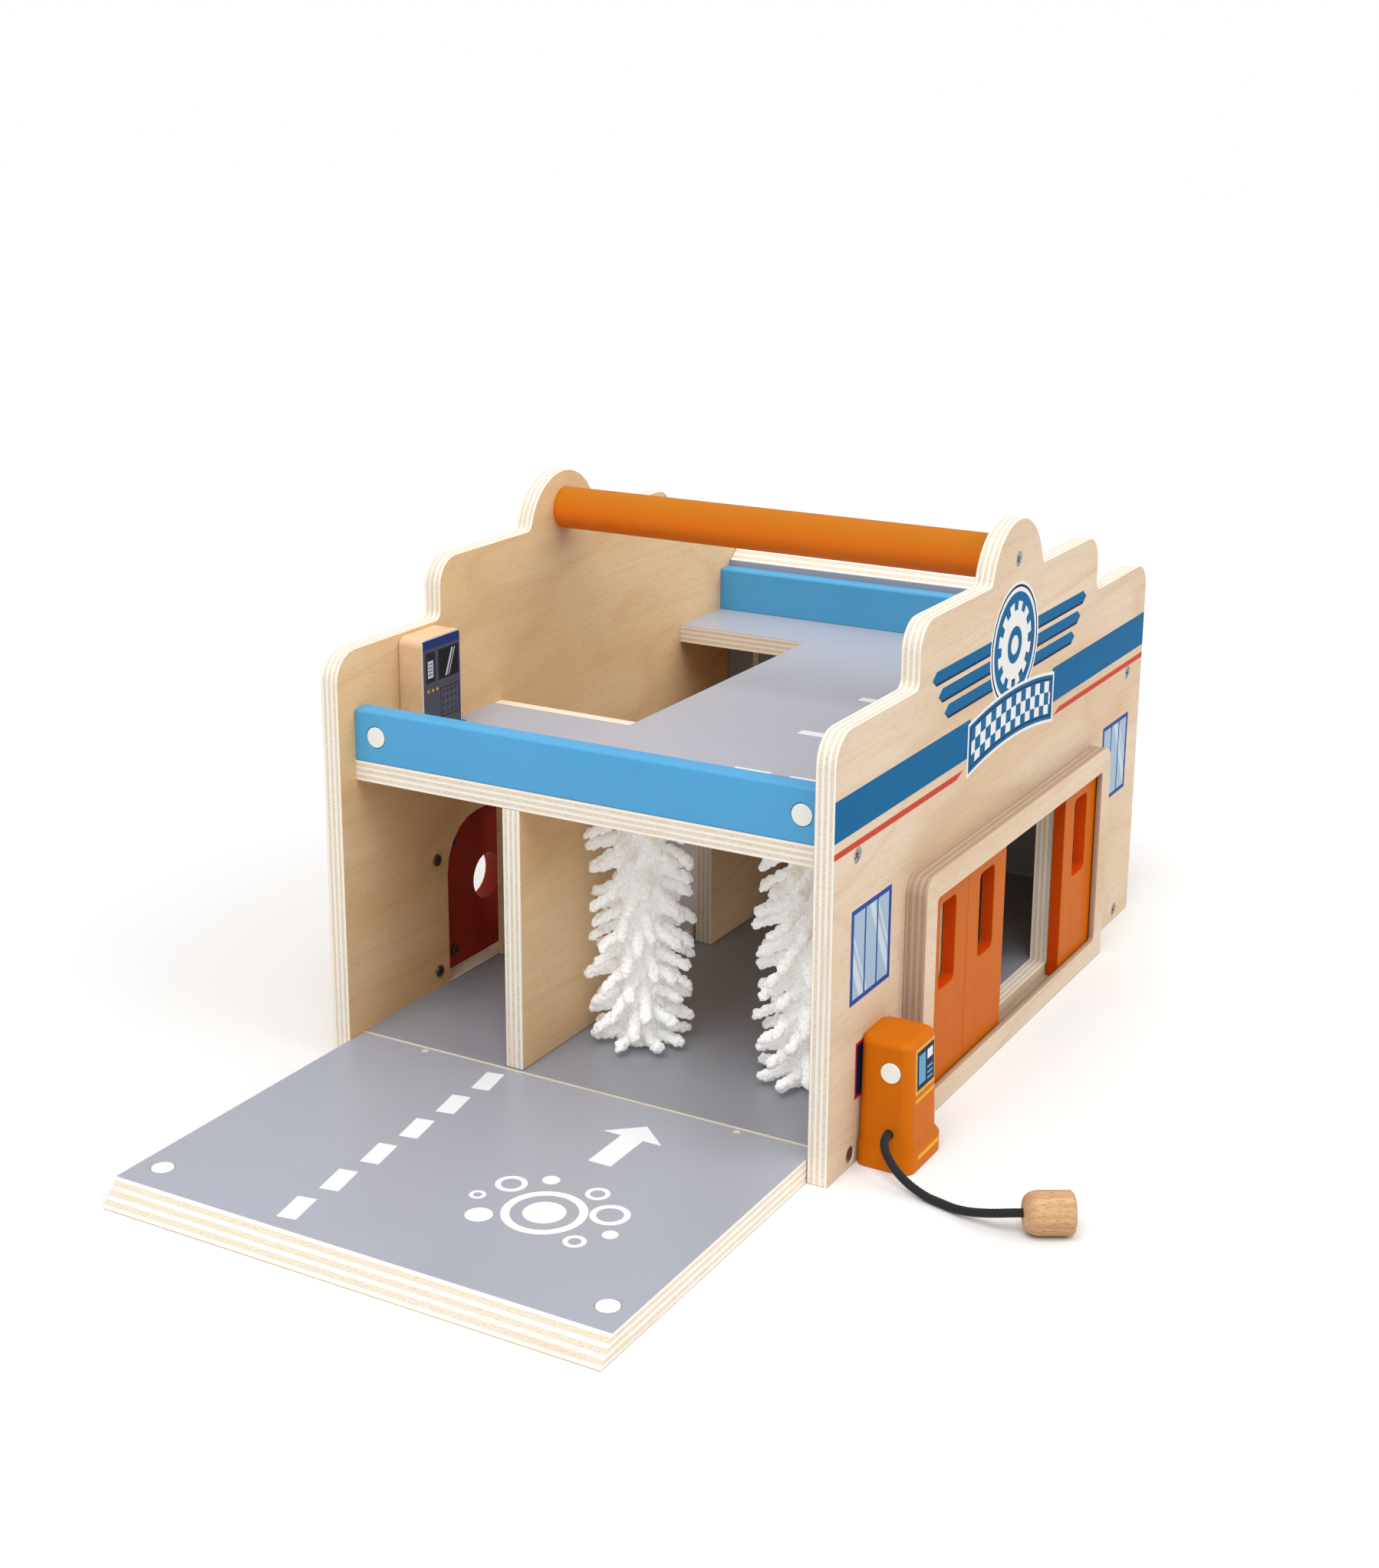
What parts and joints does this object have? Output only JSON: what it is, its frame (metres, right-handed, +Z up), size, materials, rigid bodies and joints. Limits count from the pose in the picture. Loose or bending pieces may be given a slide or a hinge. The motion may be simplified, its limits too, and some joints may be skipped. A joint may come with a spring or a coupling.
{
  "type": "toy parking garage with lift",
  "caption": "Wooden toy garage with fold-down ramps, an upper deck with a lift well, wash brushes, an arched side door, a wide sliding door, a carrying handle and a fuel pump with a cord.",
  "frame": {"origin": "middle of the floor board's underside, on the table", "axes": "+Z up; +X to the right seen from the front ramp; +Y from the front to the rear"},
  "size_m": [0.3741, 0.5278, 0.2445],
  "materials": {
    "birch_plywood": "clear satin varnish",
    "grey_paint": "satin grey paint on plywood",
    "blue_paint": "satin blue paint",
    "orange_paint": "satin orange paint",
    "red_paint": "satin red paint",
    "beech": "clear satin varnish",
    "white_cap": "matt white cap over a disc magnet",
    "dark_print": "dark print on wood",
    "steel": "plated",
    "brush_fabric": "soft chenille",
    "cord_braid": "braided"
  },
  "bodies": {
    "garage": {"side_panel_left": "birch_plywood", "side_panel_right": "birch_plywood", "lower_floor": "grey_paint", "deck": "grey_paint", "front_rail": "blue_paint", "rear_rail": "blue_paint", "partition_front": "birch_plywood", "partition_rear": "birch_plywood", "carry_handle": "orange_paint", "door_frame": "birch_plywood", "screw_floor_front_left": "steel", "screw_floor_rear_left": "steel", "screw_deck_front_left": "steel", "screw_deck_rear_left": "steel", "screw_floor_front_right": "steel", "screw_floor_rear_right": "steel", "screw_deck_front_right": "steel", "screw_deck_rear_right": "steel", "handle_screw_left": "steel", "handle_screw_right": "steel", "front_rail_magnet_left": "white_cap", "front_rail_magnet_right": "white_cap", "rear_rail_magnet_left": "white_cap", "rear_rail_magnet_right": "white_cap", "front_ramp_pin_left": "steel", "front_ramp_pin_right": "steel", "rear_ramp_pin_left": "steel", "rear_ramp_pin_right": "steel", "hinge_block_lower": "birch_plywood", "hinge_block_upper": "birch_plywood", "hinge_pin_lower": "steel", "hinge_pin_upper": "steel", "lift_portal": "birch_plywood", "payment_terminal": "beech", "terminal_base": "dark_print", "pump_body": "orange_paint", "pump_disc": "white_cap", "pump_cord": "cord_braid", "cord_plug": "beech"},
    "front_ramp": {"front_ramp": "grey_paint", "front_ramp_magnet_left": "white_cap", "front_ramp_magnet_right": "white_cap"},
    "rear_ramp": {"rear_ramp": "grey_paint", "rear_ramp_magnet_left": "white_cap", "rear_ramp_magnet_right": "white_cap"},
    "arched_door": {"side_door": "red_paint", "hinge_strap_lower": "birch_plywood", "hinge_strap_upper": "birch_plywood"},
    "front_shutter": {"sliding_door_front": "orange_paint"},
    "middle_shutter": {"sliding_door_middle": "orange_paint"},
    "rear_shutter": {"sliding_door_rear": "orange_paint"},
    "lift": {"lift_platform": "grey_paint", "lift_pin_left": "steel", "lift_pin_right": "steel"},
    "left_brush": {"brush_spindle_left": "beech", "brush_sleeve_left": "brush_fabric"},
    "right_brush": {"brush_spindle_right": "beech", "brush_sleeve_right": "brush_fabric"}
  },
  "joints": [
    {"name": "front_ramp_fold", "type": "hinge", "parent": "garage", "child": "front_ramp", "pos_m": [0, -0.1762, 0.0082], "axis": [-1, 0, 0], "range_deg": [0, 90]},
    {"name": "rear_ramp_fold", "type": "hinge", "parent": "garage", "child": "rear_ramp", "pos_m": [0, 0.1762, 0.0082], "axis": [-1, 0, 0], "range_deg": [0, 90]},
    {"name": "arched_door_hinge", "type": "hinge", "parent": "garage", "child": "arched_door", "pos_m": [-0.1403, -0.1072, 0.048], "axis": [0, 0, 1], "range_deg": [0, 90]},
    {"name": "middle_door_slide", "type": "slide", "parent": "garage", "child": "middle_shutter", "axis": [0, 1, 0], "range_m": [0, 0.0768]},
    {"name": "front_door_slide", "type": "slide", "parent": "garage", "child": "front_shutter", "axis": [0, 1, 0], "range_m": [0, 0.0768]},
    {"name": "rear_door_slide", "type": "slide", "parent": "garage", "child": "rear_shutter", "axis": [0, 1, 0], "range_m": [-0.0768, 0]},
    {"name": "lift_travel", "type": "slide", "parent": "garage", "child": "lift", "axis": [0, 0, 1], "range_m": [0, 0.1207]},
    {"name": "left_brush_spin", "type": "hinge", "parent": "garage", "child": "left_brush", "pos_m": [-0.0015, -0.1182, 0.071], "axis": [0, 0, 1], "continuous": true},
    {"name": "right_brush_spin", "type": "hinge", "parent": "garage", "child": "right_brush", "pos_m": [0.0835, -0.1182, 0.071], "axis": [0, 0, 1], "continuous": true}
  ],
  "couplings": [
    {"joint": "front_door_slide", "follows": "middle_door_slide", "ratio": 1}
  ]
}
